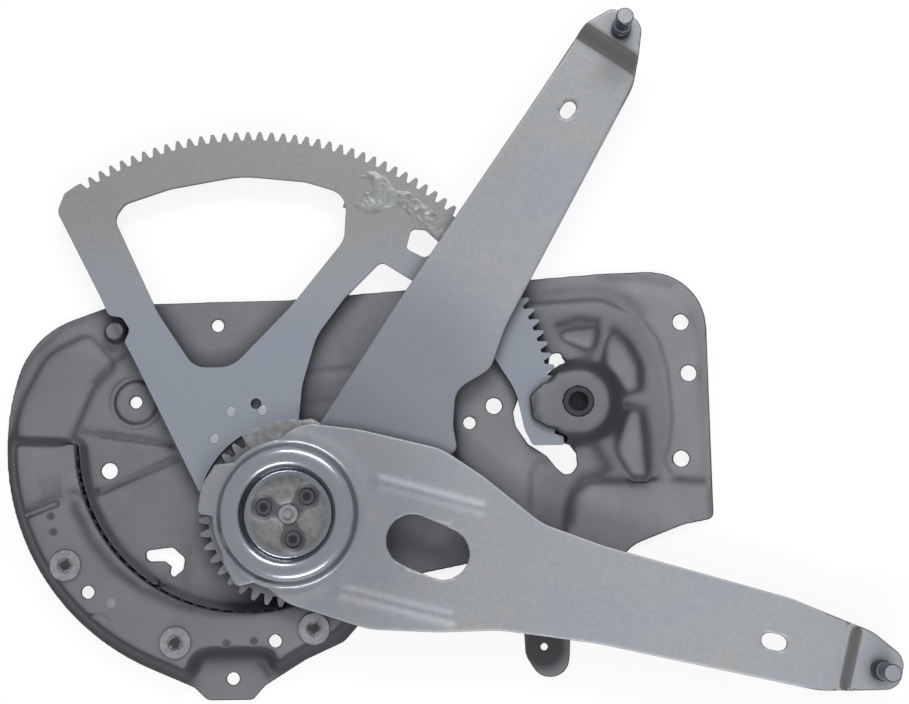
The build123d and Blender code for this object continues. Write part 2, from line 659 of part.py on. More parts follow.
with BuildPart() as lower_arm:
    with BuildSketch():
        add(arm_face(lower_outline, lower_arm_angle))
        with Locations(second_pivot):
            Circle(dome_foot + 2)
            add(rounded_face(tab_outline))
        add(arm_face(lower_hole, lower_arm_angle), mode=Mode.SUBTRACT)
        with Locations(tip_point(lower_arm_angle)):
            Circle(tip_shank, mode=Mode.SUBTRACT)
        slot_at = from_arm([lower_slot[:2]], lower_arm_angle)[0]
        with Locations(Location((*slot_at, 0), (0, 0, lower_arm_angle + lower_slot[4]))):
            SlotOverall(lower_slot[2], lower_slot[3], mode=Mode.SUBTRACT)
    extrude(amount=tip_bottom + 2 * plate)
    with BuildSketch(arm_plane(lower_arm_angle)):
        add(side_profile(lower_arm_bottom))
    extrude(amount=90, both=True, mode=Mode.INTERSECT)
    # Domed ring round the hub well, hollow behind
    with BuildSketch(Plane(origin=(*second_pivot, 0), x_dir=(1, 0, 0), z_dir=(0, -1, 0))):
        with BuildLine():
            FilletPolyline(
                (well_radius, lower_arm_top - 1), (well_radius, lower_arm_top), (well_radius + dome_lean_in, dome_top),
                (dome_foot - dome_lean_out, dome_top), (dome_foot, lower_arm_top), (dome_foot, lower_arm_top - 1),
                radius=[0, 0, dome_width / 4, dome_width / 2.8, 0, 0], close=True,
            )
        make_face()
    revolve(axis=Axis(origin=(*second_pivot, 0), direction=(0, 0, 1)))
    with BuildSketch(Plane(origin=(*second_pivot, 0), x_dir=(1, 0, 0), z_dir=(0, -1, 0))):
        with BuildLine():
            Polyline(
                (well_radius + plate, lower_arm_bottom - 1), (well_radius + dome_lean_in + sheet, dome_top - plate),
                (dome_foot - dome_lean_out - sheet, dome_top - plate), (dome_foot - plate, lower_arm_bottom - 1),
                close=True,
            )
        make_face()
    revolve(axis=Axis(origin=(*second_pivot, 0), direction=(0, 0, 1)), mode=Mode.SUBTRACT)
    # Three-lobed recess in the floor of the well
    with BuildSketch(Plane.XY.offset(lower_arm_top)):
        with Locations(second_pivot):
            Circle(centre_ring + 1.5)
        with Locations(*hub_rivets_at):
            Circle(lobe_radius)
        for angle in lobe_angles:
            middle = (second_pivot[0] + lobe_circle / 2 * cos(radians(angle)),
                      second_pivot[1] + lobe_circle / 2 * sin(radians(angle)))
            with Locations(Location((*middle, 0), (0, 0, angle))):
                Rectangle(lobe_circle, lobe_web)
    extrude(amount=-lobe_depth, mode=Mode.SUBTRACT)
    with BuildSketch(Plane.XY.offset(lower_arm_bottom)):
        with Locations(*hub_rivets_at):
            Circle(hub_rivet_radius)
        with Locations(second_pivot):
            Circle(centre_pin)
    extrude(amount=plate, mode=Mode.SUBTRACT)
    # Two raised ribs beside the oval hole
    for ends in lower_ribs:
        start, end = from_arm(ends, lower_arm_angle)
        with BuildSketch(Plane.XY.offset(lower_arm_top)):
            add(stroke(start, end, arm_rib_width))
        extrude(amount=arm_rib_rise, taper=press_taper)
lower_arm.part.label = "lower_arm"

with BuildPart() as hub_rivets:
    with BuildSketch(Plane.XY.offset(crank_bottom)):
        with Locations(*hub_rivets_at):
            Circle(hub_rivet_radius)
    extrude(amount=lower_arm_top - lobe_depth - crank_bottom)
    with BuildSketch(Plane.XY.offset(lower_arm_top - lobe_depth)):
        with Locations(*hub_rivets_at):
            Circle(hub_rivet_head)
    extrude(amount=hub_rivet_rise, taper=rivet_taper)
hub_rivets.part.label = "hub_rivets"

with BuildPart() as hub_centre_pin:
    with BuildSketch(Plane.XY.offset(crank_top)):
        with Locations(second_pivot):
            Circle(centre_pin)
    extrude(amount=lower_arm_top + centre_pin_rise - crank_top)
    with BuildSketch(Plane.XY.offset(lower_arm_top - lobe_depth)):
        with Locations(second_pivot):
            Circle(centre_ring)
    extrude(amount=centre_ring_rise)
hub_centre_pin.part.label = "hub_centre_pin"

# Pinion with its socket, and the cap that closes the hood behind it
with BuildPart() as pinion_gear:
    with BuildSketch():
        with Locations(pinion_centre):
            Circle(pinion_lower_journal)
    extrude(amount=hood_top - 4)
    with BuildSketch(Plane.XY.offset(cap_thick + 0.2)):
        with Locations(pinion_centre):
            Circle(pinion_shoulder)
    extrude(amount=crank_top - 0.2 - cap_thick - 0.2)
    with BuildSketch(Plane.XY.offset(crank_top - 0.2)):
        with Locations(pinion_centre):
            Circle(pinion_tip)
        past_tooth = (first_tooth_angle - pinion_angle) % sector_step
        gap_start = 180 + pinion_angle - past_tooth * sector_teeth / pinion_teeth
        for k in range(pinion_teeth):
            with Locations(Location((*pinion_centre, 0), (0, 0, gap_start + k * 360 / pinion_teeth))):
                add(
                    gap_face(sector_module, pinion_teeth, pinion_shift, pinion_root, pinion_tip),
                    mode=Mode.SUBTRACT,
                )
    extrude(amount=plate + 0.6)
    with BuildSketch(Plane.XY.offset(sector_top + 0.4)):
        with Locations(pinion_centre):
            Circle(pinion_shoulder)
    extrude(amount=hood_top - sheet - 0.2 - sector_top - 0.4)
    with BuildSketch(Plane.XY.offset(hood_top - sheet - 0.2)):
        with Locations(pinion_centre):
            Circle(pinion_upper_journal)
    extrude(amount=sheet + 0.2)
    with BuildSketch(Plane.XY.offset(hood_top)):
        with Locations(pinion_centre):
            Circle(drive_socket)
    extrude(amount=-drive_depth, mode=Mode.SUBTRACT)
pinion_gear.part.label = "pinion_gear"

with BuildPart() as pinion_cap:
    with BuildSketch():
        with Locations(pinion_centre):
            Circle(cap_radius)
            Circle(pinion_lower_journal + journal_gap, mode=Mode.SUBTRACT)
    extrude(amount=cap_thick)
pinion_cap.part.label = "pinion_cap"


def tip_stud_solid(at):
    """Stud riveted through an arm tip, with a wide collar and a chamfered end."""
    foot = tip_bottom + plate
    with BuildPart() as stud:
        with BuildSketch(Plane(origin=(*at, 0), x_dir=(1, 0, 0), z_dir=(0, -1, 0))):
            with BuildLine():
                Polyline(
                    (0, tip_bottom - tip_rivet_head), (tip_stud, tip_bottom - tip_rivet_head),
                    (tip_stud, tip_bottom), (tip_shank, tip_bottom), (tip_shank, foot), (tip_collar, foot),
                    (tip_collar, foot + tip_collar_height), (tip_stud, foot + tip_collar_height + tip_chamfer),
                    (tip_stud, foot + tip_stud_height - tip_chamfer),
                    (tip_stud - tip_chamfer, foot + tip_stud_height), (0, foot + tip_stud_height), close=True,
                )
            make_face()
        revolve(axis=Axis(origin=(*at, 0), direction=(0, 0, 1)))
    return stud.part


with BuildPart() as upper_tip_stud:
    add(tip_stud_solid(tip_point(upper_arm_angle)))
upper_tip_stud.part.label = "upper_tip_stud"

with BuildPart() as lower_tip_stud:
    add(tip_stud_solid(tip_point(lower_arm_angle)))
lower_tip_stud.part.label = "lower_tip_stud"

os.makedirs("parts", exist_ok=True)
for piece in (
    base_plate, ring_gear, ring_rivets, main_pivot_stud, pinion_cap, pinion_gear, crank_plate, sector_gear,
    sector_rivets, hub_post, hub_rivets, hub_centre_pin, lower_arm, lower_tip_stud, planet_gear, planet_spacer,
    planet_bush, upper_arm, upper_arm_rivets, upper_tip_stud,
):
    export_step(piece.part, f"parts/{piece.part.label}.step")
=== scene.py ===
from math import atan2, cos, pi, radians, sin, sqrt

import bmesh
import bpy
import numpy as np
from mathutils import Matrix, Vector, noise


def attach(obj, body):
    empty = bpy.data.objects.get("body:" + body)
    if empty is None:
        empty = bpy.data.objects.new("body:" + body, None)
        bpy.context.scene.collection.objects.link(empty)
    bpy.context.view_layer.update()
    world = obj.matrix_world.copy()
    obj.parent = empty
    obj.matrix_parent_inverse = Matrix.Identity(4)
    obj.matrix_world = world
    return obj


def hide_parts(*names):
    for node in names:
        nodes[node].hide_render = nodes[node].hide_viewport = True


# Window regulator seen from the front, lying on its back on a white floor.
# Named places, heights and radii are millimetres from the main pivot at the base's back, unless a comment
# says metres, and angles are degrees. Blender works in metres, so mm turns the ones into the others.

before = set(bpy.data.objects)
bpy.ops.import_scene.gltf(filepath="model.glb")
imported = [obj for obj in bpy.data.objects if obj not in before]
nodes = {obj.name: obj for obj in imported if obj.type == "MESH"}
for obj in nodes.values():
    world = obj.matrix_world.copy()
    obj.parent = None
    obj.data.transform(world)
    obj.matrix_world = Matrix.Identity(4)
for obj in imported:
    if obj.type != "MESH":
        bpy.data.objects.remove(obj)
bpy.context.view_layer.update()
mm = 0.001

# Places and heights that the solids share
crank_throw = 45.0
crank_angle = -59.8
upper_arm_angle = 55.2
lower_arm_angle = -15.2
arm_length = 307.0
plate_thick = 3.0
upper_arm_low = 13.0
lower_arm_low = 16.4
tip_low = 20.4
sector_top = 9.5
lobe_circle = 13.0
lobe_angles = (43.0, 164.0, -79.0)
dome_reach = 40.0
well_reach = 20.5
stud_foot = 28.4
stud_band = 31.5
ring_boss_at = (-59.4, 20.8)
ring_boss = 12.7
tongue_at = (152.6, -107.7)
sector_rivet_circle = 17.0
sector_rivet_angles = (62.2, 120.2, 178.2)
big_rivet_places = ((112.0, -145.4), (109.0, -108.9), (103.0, -70.0))

# Small marks of the rim: one light raised dot and four dark dimples
dot_at = (-68.4, -82.8)
dark_marks = [(-9.5, -103.7), (4.5, -102.6), (-98.9, -46.5), (-100.5, -38.5)]

# Camera: focal length in pixels of the photograph's frame, turn in degrees and shift in millimetres
image_width = 909
frame_middle = (454.5, 352.0)
focal_pixels = 1515.0
sensor = 36.0
camera_turn = (-7.641, 0.316, -0.629)
camera_shift = (-107.63, 46.76, 795.21)
nearest_seen = 0.01
farthest_seen = 20

# Lamps: name, place, size of the square in metres and watts
part_middle = (0.1, 0.05, 0)
lamps = (
    ("key", (0.25, 1.0, 0.85), (0.9, 0.3), 9),
    ("foot", (0.15, -0.85, 0.7), (0.7, 0.25), 4.5),
)
sky_colour = (0.92, 0.95, 1.0)
sky_strength = 0.62

# Meshes of the pressed sheets, in metres
base_voxel = 0.0009
arm_voxel = 0.0007

# Smoothing of the pressed sheets: a normal that rises less than the first marks a cut edge, a point closer to
# one than the margin stays, and each round moves a point by a share of the way to its neighbours' middle
cut_edge_normal = 0.35
far_from_edge = 99.0
edge_passes = 9
edge_margin = 0.8
smoothing_share = 0.6
cap_room = 3

# Arms: heights between which a cut goes through, and each joggle's (start, end) back from the tip
cut_low = 10
cut_high = 26
solid_joggle = (21.0, 9.5)
lower_joggle = (24.0, 11.5)
upper_joggle = (15.0, 6.0)

# Strip that closes the gap under the rim: inner and outer radius, first and last angle, and its top
rim_strip = (80, 97, -187, -58)
rim_strip_top = 2.0

# Pockets of the motor pad: pixel of the photograph at the middle, and radius
pocket_height = 5
pockets = [((580, 338), 13.0), ((622, 355), 14.0), ((628, 378), 9.0), ((636, 430), 13.0), ((636, 455), 13.0)]

# Dark bands of the base, mostly along drawn walls, that paint those walls' shade and partly wear: pixels of
# the photograph along each band, height of the sheet there, half width, and how dark it is
shade_and_wear_bands = {
    "pad, top": ([(530, 297), (560, 293), (600, 291), (625, 299), (640, 312)], 3, 4.2, 0.5),
    "pad, top edge": ([(600, 278), (640, 277), (670, 285)], 3, 2.6, 0.35),
    "left pocket": ([(558, 325), (578, 319), (597, 321), (597, 342), (588, 358), (574, 367)], 4, 2.6, 0.85),
    "upper pocket": ([(614, 330), (629, 345), (640, 368), (641, 388), (625, 395)], 4, 2.8, 0.9),
    "right pocket": ([(627, 405), (643, 410), (648, 440), (649, 477), (633, 481), (600, 480)], 4, 2.8, 0.9),
    "wall below the hood": (
        [(538, 429), (553, 437), (574, 439), (591, 441), (599, 452), (607, 467), (603, 474), (583, 479),
         (573, 492), (570, 521)],
        4, 3.4, 0.9,
    ),
    "step at the right": ([(675, 479), (703, 481)], 3, 2.4, 0.85),
    "right edge": ([(711, 488), (711, 523)], 3, 1.8, 0.5),
    "line right of the pad": (
        [(601, 294), (637, 311), (658, 340), (667, 368), (672, 418), (669, 446), (664, 460), (671, 473)],
        3, 1.3, 0.55,
    ),
    "hood, left": ([(535, 395), (534, 410), (540, 426)], 10, 2.2, 0.8),
    "hood, right": ([(596, 375), (612, 383), (618, 403), (611, 424), (594, 435)], 8, 3.4, 0.45),
    "beside the pinion": ([(530, 508), (531, 473), (538, 461), (551, 460)], 4, 1.5, 0.5),
    "rim, outside": ([(15, 527), (33, 570), (62, 619), (103, 656), (144, 676), (190, 681)], 8, 3.6, 0.8),
    "left edge": ([(6, 455), (8, 480), (15, 514)], 6, 1.9, 0.6),
    "upper left edge": ([(15, 385), (31, 357), (64, 326), (103, 310)], 4, 1.8, 0.5),
    "rim, inside": (
        [(77, 506), (93, 540), (116, 568), (144, 589), (180, 604), (219, 612), (258, 610), (281, 605)],
        6, 3.0, 0.9,
    ),
    "wall by the low tab": ([(206, 661), (255, 659), (268, 676), (296, 671), (330, 658)], 8, 2.3, 0.85),
    "left step": ([(111, 315), (124, 341), (126, 352), (108, 367), (95, 382)], 5, 2.0, 0.7),
    "upper groove": ([(84, 432), (172, 444)], 2, 2.2, 0.6),
    "lower groove": ([(88, 497), (130, 480), (176, 459)], 2, 2.2, 0.55),
    "end of the rim": ([(20, 512), (50, 498), (75, 491), (84, 497)], 12, 2.0, 0.7),
    "recess, low": ([(188, 532), (186, 596)], 2, 3.4, 0.3),
    "step behind the sector": ([(300, 372), (380, 363)], 2, 1.6, 0.6),
    "lower step behind the sector": ([(300, 402), (345, 398)], 2, 1.6, 0.45),
    "recess, upper left": ([(262, 330), (250, 352), (232, 368)], 2, 3.4, 0.35),
    "recess, upper right": ([(330, 330), (322, 345), (316, 400)], 2, 2.4, 0.35),
    "by the centre hole": ([(470, 385), (478, 378), (492, 380)], 3, 2.0, 0.45),
}


def from_point(centre, reach, degrees):
    """Point in plan at a distance and direction from a centre."""
    return (centre[0] + reach * cos(radians(degrees)), centre[1] + reach * sin(radians(degrees)))


def from_pivot(reach, degrees):
    """Point in plan at a distance and direction from the main pivot."""
    return from_point((0, 0), reach, degrees)


def from_hub(reach, degrees):
    """Point in plan at a distance and direction from the hub."""
    return from_point(hub_at, reach, degrees)


hub_at = from_pivot(crank_throw, crank_angle)
big_rivets = [from_pivot(*place) for place in big_rivet_places]
well_rivets = [from_hub(lobe_circle, angle) for angle in lobe_angles]


def turned(degrees_about):
    """Rotation by a vector whose length is the angle in degrees."""
    angle = sqrt(sum(a * a for a in degrees_about))
    return Matrix.Rotation(radians(angle), 3, Vector(degrees_about))


def camera_view():
    """Turn from the part's axes to the camera's, which run right, down and away, and the eye's place."""
    view = turned(camera_turn) @ Matrix.Diagonal((1, -1, -1))
    return view, view.transposed() @ Vector(camera_shift) * -1


def add_camera():
    """Camera that looks down on the part as in the photograph."""
    view, eye = camera_view()
    data = bpy.data.cameras.new("photo_camera")
    data.sensor_width = sensor
    data.lens = focal_pixels * sensor / image_width
    data.clip_start = nearest_seen
    data.clip_end = farthest_seen
    camera = bpy.data.objects.new("photo_camera", data)
    blender_axes = view.transposed() @ Matrix.Diagonal((1, -1, -1))
    camera.matrix_world = Matrix.Translation(eye * mm) @ blender_axes.to_4x4()
    bpy.context.scene.collection.objects.link(camera)
    bpy.context.scene.camera = camera


def plan_at(pixel, height):
    """Point in plan that the camera sees at a pixel of the photograph, at a height above the back."""
    view, eye = camera_view()
    across = (pixel[0] - frame_middle[0]) / focal_pixels
    down = (pixel[1] - frame_middle[1]) / focal_pixels
    ray = view.transposed() @ Vector((across, down, 1))
    spot = eye + ray * ((height - eye.z) / ray.z)
    return (spot.x, spot.y)


class Shader:
    """Small helper that adds linked nodes to one material."""

    def __init__(self, name):
        self.material = bpy.data.materials.new(name)
        self.material.use_nodes = True
        self.tree = self.material.node_tree
        self.surface = self.tree.nodes["Principled BSDF"]
        self.where = self.add("ShaderNodeTexCoord").outputs["Object"]

    def add(self, kind, settings=(), **inputs):
        """New node with its settings and inputs; an input may be another node's output."""
        node = self.tree.nodes.new(kind)
        for key, value in settings:
            setattr(node, key, value)
        for key, value in inputs.items():
            self.feed(node, key.replace("_", " "), value)
        return node

    def feed(self, node, key, value):
        """Sets one input of a node, by number or by link."""
        socket = node.inputs[int(key)] if key.isdigit() else node.inputs[key]
        if isinstance(value, bpy.types.NodeSocket):
            self.tree.links.new(value, socket)
        else:
            socket.default_value = value

    def math(self, way, *values):
        """Arithmetic on one to three numbers."""
        node = self.add("ShaderNodeMath", (("operation", way),))
        for k, value in enumerate(values):
            self.feed(node, str(k), value)
        return node.outputs[0]

    def span(self, value, low, high):
        """0 at low and 1 at high, smooth between."""
        node = self.add("ShaderNodeMapRange", (("interpolation_type", "SMOOTHSTEP"),), Value=value)
        node.inputs["From Min"].default_value = low
        node.inputs["From Max"].default_value = high
        return node.outputs[0]

    def noise(self, scale, detail=4.0, rough=0.6, stretch=(1, 1, 1), seed=0.0):
        """Noise in the part's own coordinates, with scale in waves per metre."""
        place = (seed, seed * 0.7, 0)
        moved = self.add("ShaderNodeMapping", Vector=self.where, Scale=stretch, Location=place).outputs[0]
        made = self.add("ShaderNodeTexNoise", Vector=moved, Scale=scale, Detail=detail, Roughness=rough)
        return made.outputs["Fac"]

    def ramp(self, value, *stops):
        """Colour ramp from (place, colour) stops."""
        node = self.add("ShaderNodeValToRGB", Fac=value)
        for k, (place, colour) in enumerate(stops):
            stop = node.color_ramp.elements[k] if k < 2 else node.color_ramp.elements.new(place)
            stop.position = place
            stop.color = (*colour, 1) if isinstance(colour, tuple) else (colour, colour, colour, 1)
        return node.outputs["Color"]

    def mix(self, share, first, second, way="MIX"):
        """Mix of two colours or numbers held as colours."""
        node = self.add("ShaderNodeMix", (("data_type", "RGBA"), ("blend_type", way)))
        for socket, value in zip((0, 6, 7), (share, first, second)):
            if isinstance(value, tuple):
                value = (*value, 1)
            self.feed(node, str(socket), value)
        return node.outputs[2]

    def scaled(self, share, colour, factors):
        """Colour multiplied by the factors, where the share is 1."""
        return self.mix(share, colour, self.mix(1.0, colour, factors, "MULTIPLY"))

    def along(self, axis):
        """Place along X, Y or Z, in metres."""
        return self.add("ShaderNodeSeparateXYZ", Vector=self.where).outputs[axis]

    def height(self):
        """Height above the base's back."""
        return self.math("MULTIPLY", self.along("Z"), 1000.0)

    def reach(self, centre):
        """Distance in plan from a centre."""
        flat = self.add("ShaderNodeVectorMath", (("operation", "MULTIPLY"),))
        self.feed(flat, "0", self.where)
        self.feed(flat, "1", (1000, 1000, 0))
        away = self.add("ShaderNodeVectorMath", (("operation", "DISTANCE"),))
        self.feed(away, "0", flat.outputs[0])
        self.feed(away, "1", (*centre, 0))
        return away.outputs["Value"]

    def slope(self, flat, steep):
        """0 where the surface lies level (normal's height flat), 1 where it is as steep as given."""
        facing = self.add("ShaderNodeSeparateXYZ", Vector=self.add("ShaderNodeTexCoord").outputs["Normal"])
        return self.span(self.math("ABSOLUTE", facing.outputs["Z"]), flat, steep)

    def creases(self, low, high, reach=0.012):
        """1 where the surface is hollow within the reach, in metres, and 0 on open ground."""
        shade = self.add("ShaderNodeAmbientOcclusion", (("samples", 8),), Distance=reach)
        return self.ramp(shade.outputs["AO"], (low, 1.0), (high, 0.0))

    def finish(self, colour, rough, metal, bump_height, bump_strength, bump_reach=0.0004):
        """Wires colour, roughness and bump to the surface."""
        self.feed(self.surface, "Base Color", colour)
        self.feed(self.surface, "Roughness", rough)
        self.feed(self.surface, "Metallic", metal)
        bump = self.add("ShaderNodeBump", Height=bump_height, Strength=bump_strength, Distance=bump_reach)
        self.feed(self.surface, "Normal", bump.outputs["Normal"])
        return self.material


def base_steel():
    """Dark phosphated sheet: fine grain, soft patches, and painted shade on the drawn walls, in creases and
    in bands along the walls, which are partly wear.
    """
    s = Shader("base_steel")
    patches = s.noise(24, 5, 0.6)
    blots = s.noise(110, 4, 0.65, seed=2)
    grain = s.noise(2400, 3, 0.7)
    colour = s.ramp(patches, (0.32, (0.15, 0.152, 0.162)), (0.7, (0.2, 0.203, 0.215)))
    stains = s.ramp(blots, (0.55, 0.0), (0.78, 0.4))
    colour = s.mix(stains, colour, (0.1, 0.1, 0.108))
    colour = s.mix(0.3, colour, s.ramp(grain, (0.3, 0.1), (0.7, 0.26)))
    east = s.along("X")
    colour = s.scaled(s.span(east, 0.0, 0.2), colour, (1.22, 1.22, 1.22))
    # painted shade: steep walls are darkened by their slope
    wall_shade = s.slope(0.997, 0.86)
    colour = s.mix(wall_shade, colour, (0.04, 0.04, 0.046))
    # painted shade in creases and hollows, found by ambient occlusion
    crease_shade = s.creases(0.42, 0.96)
    colour = s.mix(crease_shade, colour, (0.045, 0.045, 0.052))
    tongue = s.span(s.reach(tongue_at), 15, 8)
    colour = s.mix(tongue, colour, (0.05, 0.05, 0.053))
    # dark bands along the drawn walls: painted shade, partly wear
    bands = s.add("ShaderNodeAttribute", (("attribute_name", "shade"),)).outputs["Fac"]
    bands = s.math("MULTIPLY", bands, s.ramp(blots, (0.3, 0.75), (0.7, 1.0)))
    colour = s.mix(bands, colour, (0.045, 0.044, 0.055))
    raised_pad = s.math("MULTIPLY", s.span(s.height(), 3.6, 5.2), s.span(east, 0.14, 0.16))
    colour = s.scaled(raised_pad, colour, (0.76, 0.76, 0.76))
    light_dot = s.span(s.reach(dot_at), 2.6, 2.0)
    colour = s.mix(light_dot, colour, (0.25, 0.25, 0.25))
    for at in dark_marks:
        dimple = s.span(s.reach(at), 2.9, 1.2)
        colour = s.mix(dimple, colour, (0.07, 0.07, 0.074))
    rough = s.ramp(grain, (0.3, 0.5), (0.7, 0.64))
    return s.finish(colour, rough, 0.3, grain, 0.3)


def zinc(name, light, warm_height, seed):
    """Start of a zinc-plated sheet: pale grey, faint blue and straw clouds, and a soft rolled grain."""
    s = Shader(name)
    clouds = s.noise(30, 5, 0.62, seed=seed)
    tint = s.noise(75, 4, 0.6, seed=seed + 3)
    grain = s.noise(700, 3, 0.65, stretch=(1, 2.4, 1), seed=seed)
    fine = s.noise(3400, 2, 0.7, seed=seed)
    blue = (0.90 * light, 0.96 * light, 1.08 * light)
    grey = (0.98 * light, 1.0 * light, 1.02 * light)
    straw = (1.02 * light, 1.02 * light, 0.98 * light)
    colour = s.ramp(clouds, (0.38, blue), (0.5, grey), (0.66, straw))
    colour = s.mix(s.ramp(tint, (0.4, 0.35), (0.66, 0.0)), colour, (0.88 * light, 0.92 * light, 1.0 * light))
    if warm_height:
        colour = s.mix(s.span(s.along("Y"), *warm_height), colour, (0.235, 0.237, 0.233))
    colour = s.mix(0.2, colour, s.ramp(fine, (0.3, 0.62 * light), (0.7, 1.35 * light)))
    tone = s.noise(420, 3, 0.6, seed=seed + 6)
    dull = (0.76 * light, 0.8 * light, 0.92 * light)
    bright = (1.3 * light, 1.28 * light, 1.16 * light)
    colour = s.mix(0.25, colour, s.ramp(tone, (0.3, dull), (0.7, bright)))
    specks = s.noise(130, 6, 0.75, seed=seed + 9)
    colour = s.mix(s.ramp(specks, (0.66, 0.0), (0.8, 0.45)), colour, (0.5 * light, 0.5 * light, 0.5 * light))
    return s, colour, grain, fine, tone


def plate_steel():
    """Sector, crank and spacer: bluish below, greyer and warmer up by the teeth."""
    s, colour, grain, fine, tone = zinc("zinc_plate", 0.31, (0.07, 0.13), 1.0)
    bluish = s.math("MULTIPLY", s.span(s.along("Y"), 0.11, 0.05), s.ramp(tone, (0.3, 0.35), (0.7, 0.85)))
    colour = s.mix(bluish, colour, (0.25, 0.285, 0.345))
    # painted shade on the steep cut edges
    edge_shade = s.slope(0.6, 0.25)
    colour = s.mix(edge_shade, colour, (0.07, 0.072, 0.08))
    # painted shade in creases and hollows, found by ambient occlusion
    crease_shade = s.creases(0.35, 0.92, 0.008)
    colour = s.mix(crease_shade, colour, (0.08, 0.083, 0.095))
    rough = s.ramp(grain, (0.3, 0.4), (0.7, 0.55))
    return s.finish(colour, rough, 0.45, s.mix(0.5, grain, fine), 0.25)


def arm_steel():
    """Arms: pale zinc and a shiny drawn dome, with painted shade on the joggles by the tips, the low sheet
    near the hub, the well's wall, lobes and pin gap, the cut edges and the creases.
    """
    s, colour, grain, fine, tone = zinc("arm_plate", 0.335, None, 5.0)
    hub = s.reach(hub_at)
    shaded_sheet = s.math("MULTIPLY", s.span(s.height(), 16.7, 16.5), s.span(s.reach((70, 20)), 95, 35))
    colour = s.mix(s.math("MULTIPLY", shaded_sheet, 0.8), colour, (0.215, 0.222, 0.26))
    colour = s.scaled(s.span(s.along("X"), 0.05, 0.28), colour, (1.17, 1.17, 1.17))
    colour = s.scaled(s.span(s.along("Y"), 0.06, 0.19), colour, (0.82, 0.82, 0.82))
    colour = s.scaled(s.span(hub, 95, 50), colour, (0.82, 0.82, 0.83))
    # painted shade on the sloping joggles by the tips
    joggle = s.math("MULTIPLY", s.slope(0.998, 0.93), s.span(hub, 270, 280))
    joggle_shade_colour = s.ramp(tone, (0.35, (0.13, 0.118, 0.11)), (0.65, (0.1, 0.1, 0.09)))
    colour = s.mix(s.math("MULTIPLY", joggle, 0.85), colour, joggle_shade_colour)
    inside_dome = s.span(hub, dome_reach, dome_reach - 5)
    dome = s.math("MULTIPLY", inside_dome, s.span(hub, well_reach - 1, well_reach))
    well_floor = s.span(hub, well_reach, well_reach - 1)
    stains = s.noise(260, 5, 0.7, seed=11)
    stained = s.ramp(stains, (0.35, (0.16, 0.163, 0.155)), (0.6, (0.25, 0.25, 0.235)))
    colour = s.mix(well_floor, colour, stained)
    colour = s.mix(s.math("MULTIPLY", dome, 0.8), colour, (0.37, 0.385, 0.41))
    # painted shade in the well floor's three recessed lobes
    for degrees in lobe_angles:
        for reach, radius in ((lobe_circle, 7.2), (lobe_circle / 2, 4.6)):
            spot = s.span(s.reach(from_hub(reach, degrees)), radius, radius - 1.2)
            colour = s.mix(spot, colour, (0.1, 0.102, 0.105))
    # painted shade in the gap round the centre pin
    pin_gap_shade = s.span(hub, 5.4, 4.6)
    colour = s.mix(pin_gap_shade, colour, (0.03, 0.03, 0.033))
    # painted shade on the well's steep wall
    well_wall_shade = s.math("MULTIPLY", s.span(hub, well_reach + 4, well_reach + 1), s.slope(0.93, 0.75))
    colour = s.mix(well_wall_shade, colour, (0.03, 0.032, 0.04))
    # painted shade on the steep cut edges
    edge_shade = s.slope(0.6, 0.2)
    colour = s.mix(edge_shade, colour, (0.07, 0.072, 0.08))
    # painted shade in creases and hollows, found by ambient occlusion
    crease_shade = s.creases(0.3, 0.9)
    colour = s.mix(crease_shade, colour, (0.07, 0.075, 0.09))
    rough = s.math("SUBTRACT", s.ramp(grain, (0.3, 0.38), (0.7, 0.52)), s.math("MULTIPLY", dome, 0.2))
    metal = s.math("ADD", 0.45, s.math("MULTIPLY", dome, 0.45))
    bump_strength = s.math("SUBTRACT", 0.2, s.math("MULTIPLY", dome, 0.17))
    return s.finish(colour, rough, metal, s.mix(0.5, grain, fine), bump_strength)


def gear_steel(name, light):
    """Greased gear teeth, with painted shade on the steep flanks and in the hollows between them."""
    s = Shader(name)
    clouds = s.noise(120, 4, 0.6)
    fine = s.noise(3200, 3, 0.7)
    dull = (0.66 * light, 0.68 * light, 0.7 * light)
    colour = s.ramp(clouds, (0.3, dull), (0.7, (light, light, 1.03 * light)))
    # painted shade on the steep tooth flanks
    flank_shade = s.slope(0.7, 0.3)
    colour = s.mix(flank_shade, colour, (0.06, 0.06, 0.066))
    # painted shade in the hollows between the teeth, found by ambient occlusion
    crease_shade = s.creases(0.3, 0.95)
    colour = s.mix(crease_shade, colour, (0.05, 0.05, 0.056))
    return s.finish(colour, s.ramp(fine, (0.3, 0.35), (0.7, 0.5)), 0.6, fine, 0.25, 0.0002)


def rivet_steel():
    """Rivet heads: pale discs whose pressed centres are rough and dark."""
    s = Shader("rivet_steel")
    clouds = s.noise(300, 5, 0.7)
    fine = s.noise(3200, 3, 0.7)
    colour = s.ramp(clouds, (0.3, (0.2, 0.202, 0.21)), (0.62, (0.33, 0.332, 0.34)))
    for at in big_rivets:
        ragged = s.math("ADD", s.reach(at), s.math("MULTIPLY", s.noise(420, 4, 0.7, seed=4), 5.0))
        colour = s.mix(s.span(ragged, 6.4, 4.6), colour, (0.05, 0.048, 0.046))
    for at in well_rivets:
        away = s.reach(at)
        colour = s.mix(s.span(away, 6.2, 5.4), colour, (0.085, 0.088, 0.092))
        colour = s.mix(s.span(away, 2.8, 1.6), colour, (0.022, 0.022, 0.024))
    # painted shade in creases round the rivet heads, found by ambient occlusion
    crease_shade = s.creases(0.3, 0.9, 0.005)
    colour = s.mix(crease_shade, colour, (0.05, 0.05, 0.054))
    rough = s.ramp(fine, (0.3, 0.35), (0.7, 0.55))
    return s.finish(colour, rough, 0.5, s.mix(0.5, clouds, fine), 0.45)


